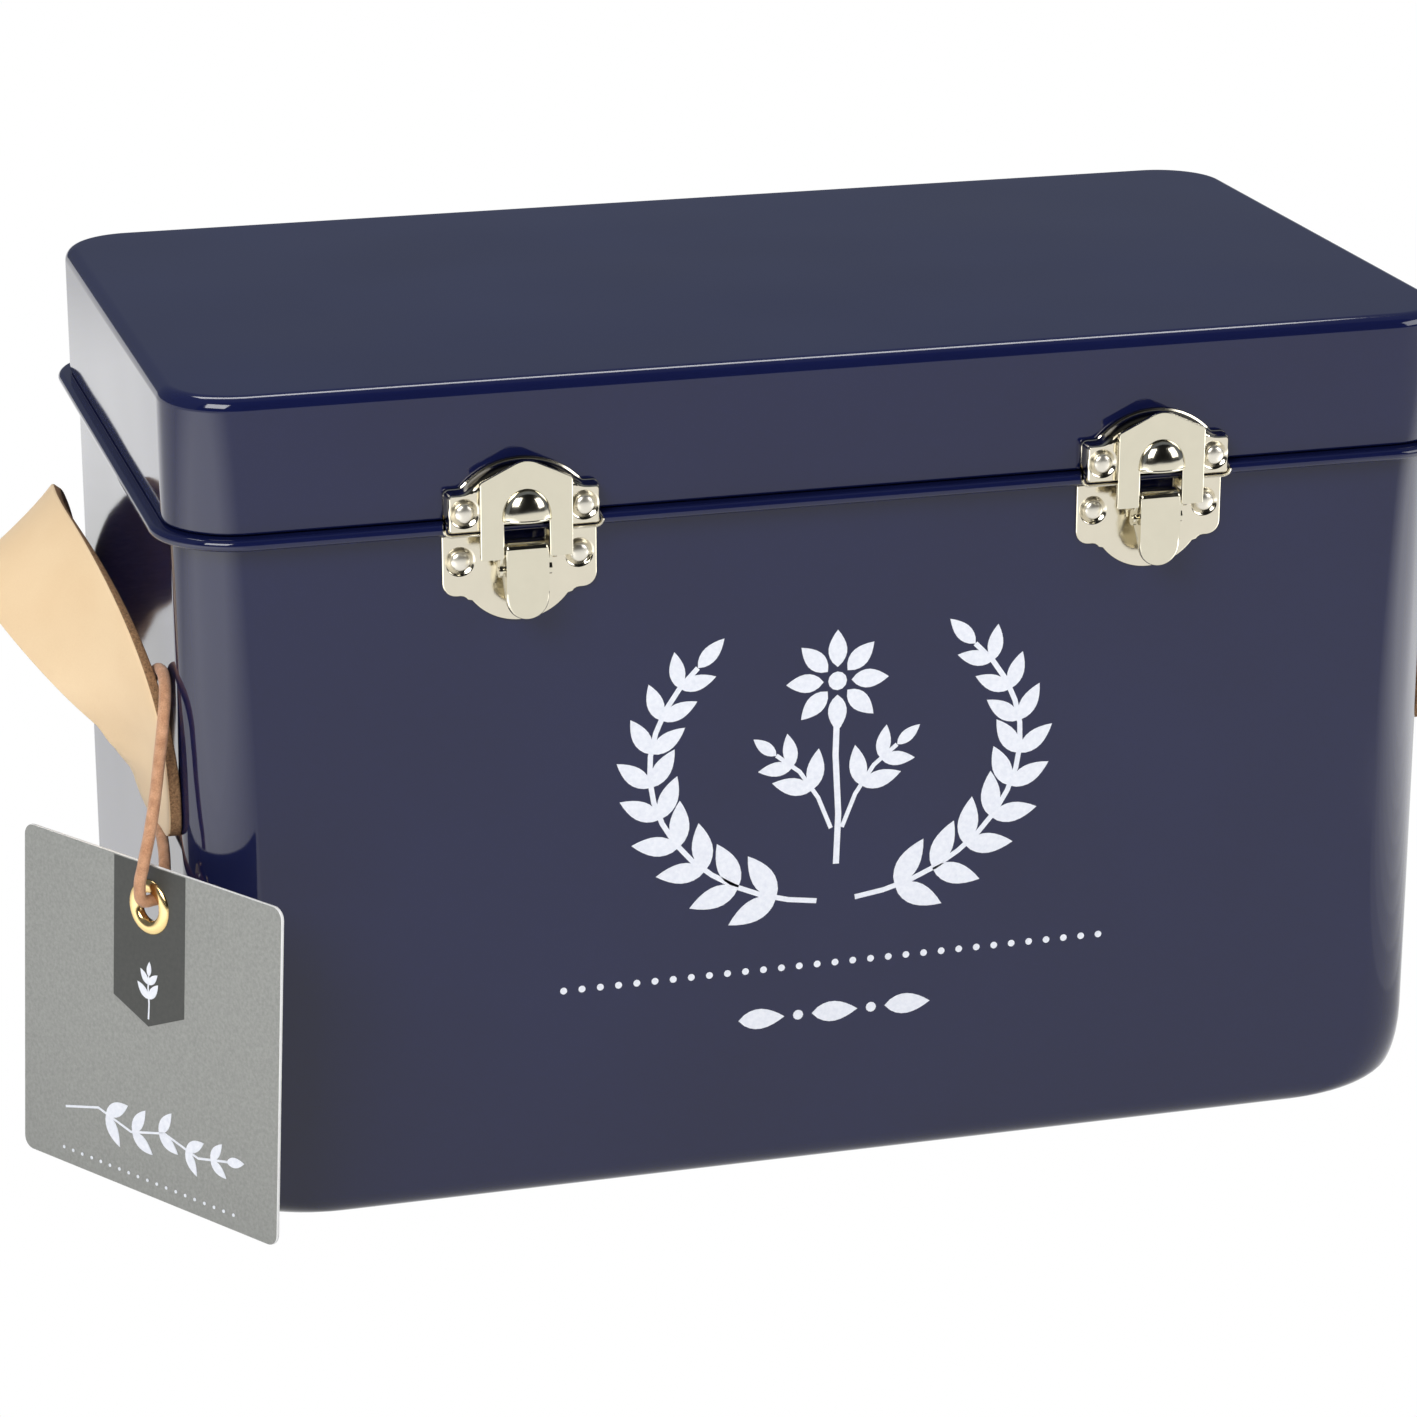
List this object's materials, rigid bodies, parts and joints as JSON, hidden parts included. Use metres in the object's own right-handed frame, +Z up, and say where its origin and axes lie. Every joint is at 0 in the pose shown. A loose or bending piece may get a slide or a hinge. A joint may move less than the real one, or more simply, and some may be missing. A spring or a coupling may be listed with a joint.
{
  "type": "garden seed organizer box",
  "caption": "Painted metal tin with a back-hinged lid, draw catches, leather strap handles, a hanging card tag and lanes of leaning card dividers for seed packets",
  "frame": {"origin": "middle of the flat base, on the surface that the box rests on", "axes": "+X to the right along the width, -Y out of the front with the catches, +Z up"},
  "size_m": [0.4038, 0.2192, 0.2115],
  "materials": {
    "navy_paint": "glossy navy enamel on sheet steel",
    "nickel_plate": "bright nickel plate",
    "strap_leather": "pale vegetable tanned leather with brown cut edges",
    "thong_leather": "rolled tan leather thong",
    "eyelet_brass": "rolled brass eyelet",
    "tag_card": "grey printed card with a white core",
    "divider_card": "plain buff card"
  },
  "bodies": {
    "root": {"tin_body": "navy_paint", "lane_partition": "navy_paint", "hinge_left_body_leaf": "nickel_plate", "hinge_right_body_leaf": "nickel_plate", "hinge_left_pin": "nickel_plate", "hinge_right_pin": "nickel_plate", "hinge_body_rivets": "nickel_plate", "catch_left_base": "nickel_plate", "catch_right_base": "nickel_plate", "catch_left_lever_pin": "nickel_plate", "catch_right_lever_pin": "nickel_plate", "catch_body_rivets": "nickel_plate", "handle_left_ends": "strap_leather", "handle_right_ends": "strap_leather", "handle_rivets": "nickel_plate", "handle_washers": "nickel_plate", "tag_thong": "thong_leather", "tag_eyelet": "eyelet_brass", "tag_card": "tag_card"},
    "lid": {"lid": "navy_paint", "hinge_left_lid_leaf": "nickel_plate", "hinge_right_lid_leaf": "nickel_plate", "hinge_lid_rivets": "nickel_plate", "catch_left_strike": "nickel_plate", "catch_right_strike": "nickel_plate", "catch_lid_rivets": "nickel_plate"},
    "lever_left": {"catch_left_lever": "nickel_plate", "catch_left_hasp_pin": "nickel_plate"},
    "hasp_left": {"catch_left_hasp": "nickel_plate"},
    "lever_right": {"catch_right_lever": "nickel_plate", "catch_right_hasp_pin": "nickel_plate"},
    "hasp_right": {"catch_right_hasp": "nickel_plate"},
    "handle_left": {"handle_left_arch": "strap_leather"},
    "handle_right": {"handle_right_arch": "strap_leather"},
    "divider_front_1": {"divider_front_1": "divider_card"},
    "divider_front_2": {"divider_front_2": "divider_card"},
    "divider_front_3": {"divider_front_3": "divider_card"},
    "divider_front_4": {"divider_front_4": "divider_card"},
    "divider_front_5": {"divider_front_5": "divider_card"},
    "divider_front_6": {"divider_front_6": "divider_card"},
    "divider_back_1": {"divider_back_1": "divider_card"},
    "divider_back_2": {"divider_back_2": "divider_card"},
    "divider_back_3": {"divider_back_3": "divider_card"},
    "divider_back_4": {"divider_back_4": "divider_card"},
    "divider_back_5": {"divider_back_5": "divider_card"},
    "divider_back_6": {"divider_back_6": "divider_card"}
  },
  "joints": [
    {"name": "lid_open", "type": "hinge", "parent": "root", "child": "lid", "pos_m": [0, 0.0969, 0.17655], "axis": [-1, 0, 0], "range_deg": [0, 105]},
    {"name": "lever_left_lift", "type": "hinge", "parent": "root", "child": "lever_left", "pos_m": [-0.08, -0.0945, 0.17], "axis": [-1, 0, 0], "range_deg": [0, 105]},
    {"name": "hasp_left_swing", "type": "hinge", "parent": "lever_left", "child": "hasp_left", "pos_m": [-0.08, -0.0943, 0.166], "axis": [-1, 0, 0], "range_deg": [-132, 0]},
    {"name": "lever_right_lift", "type": "hinge", "parent": "root", "child": "lever_right", "pos_m": [0.08, -0.0945, 0.17], "axis": [-1, 0, 0], "range_deg": [0, 105]},
    {"name": "hasp_right_swing", "type": "hinge", "parent": "lever_right", "child": "hasp_right", "pos_m": [0.08, -0.0943, 0.166], "axis": [-1, 0, 0], "range_deg": [-132, 0]},
    {"name": "handle_left_flex", "type": "hinge", "parent": "root", "child": "handle_left", "pos_m": [-0.1643, 0, 0.1117], "axis": [0, -1, 0], "range_deg": [0, 30]},
    {"name": "handle_right_flex", "type": "hinge", "parent": "root", "child": "handle_right", "pos_m": [0.1643, 0, 0.1117], "axis": [0, 1, 0], "range_deg": [0, 30]},
    {"name": "divider_front_1_lean", "type": "hinge", "parent": "root", "child": "divider_front_1", "pos_m": [-0.11443, -0.0441, 0.0011], "axis": [0, 1, 0], "range_deg": [-6, 6]},
    {"name": "divider_front_2_lean", "type": "hinge", "parent": "root", "child": "divider_front_2", "pos_m": [-0.06866, -0.0441, 0.0011], "axis": [0, 1, 0], "range_deg": [-6, 6]},
    {"name": "divider_front_3_lean", "type": "hinge", "parent": "root", "child": "divider_front_3", "pos_m": [-0.02289, -0.0441, 0.0011], "axis": [0, 1, 0], "range_deg": [-6, 6]},
    {"name": "divider_front_4_lean", "type": "hinge", "parent": "root", "child": "divider_front_4", "pos_m": [0.02289, -0.0441, 0.0011], "axis": [0, 1, 0], "range_deg": [-6, 6]},
    {"name": "divider_front_5_lean", "type": "hinge", "parent": "root", "child": "divider_front_5", "pos_m": [0.06866, -0.0441, 0.0011], "axis": [0, 1, 0], "range_deg": [-6, 6]},
    {"name": "divider_front_6_lean", "type": "hinge", "parent": "root", "child": "divider_front_6", "pos_m": [0.11443, -0.0441, 0.0011], "axis": [0, 1, 0], "range_deg": [-6, 6]},
    {"name": "divider_back_1_lean", "type": "hinge", "parent": "root", "child": "divider_back_1", "pos_m": [-0.11443, 0.0441, 0.0011], "axis": [0, 1, 0], "range_deg": [-6, 6]},
    {"name": "divider_back_2_lean", "type": "hinge", "parent": "root", "child": "divider_back_2", "pos_m": [-0.06866, 0.0441, 0.0011], "axis": [0, 1, 0], "range_deg": [-6, 6]},
    {"name": "divider_back_3_lean", "type": "hinge", "parent": "root", "child": "divider_back_3", "pos_m": [-0.02289, 0.0441, 0.0011], "axis": [0, 1, 0], "range_deg": [-6, 6]},
    {"name": "divider_back_4_lean", "type": "hinge", "parent": "root", "child": "divider_back_4", "pos_m": [0.02289, 0.0441, 0.0011], "axis": [0, 1, 0], "range_deg": [-6, 6]},
    {"name": "divider_back_5_lean", "type": "hinge", "parent": "root", "child": "divider_back_5", "pos_m": [0.06866, 0.0441, 0.0011], "axis": [0, 1, 0], "range_deg": [-6, 6]},
    {"name": "divider_back_6_lean", "type": "hinge", "parent": "root", "child": "divider_back_6", "pos_m": [0.11443, 0.0441, 0.0011], "axis": [0, 1, 0], "range_deg": [-6, 6]}
  ],
  "couplings": [
    {"joint": "hasp_left_swing", "follows": "lever_left_lift", "ratio": -1.25},
    {"joint": "hasp_right_swing", "follows": "lever_right_lift", "ratio": -1.25}
  ]
}
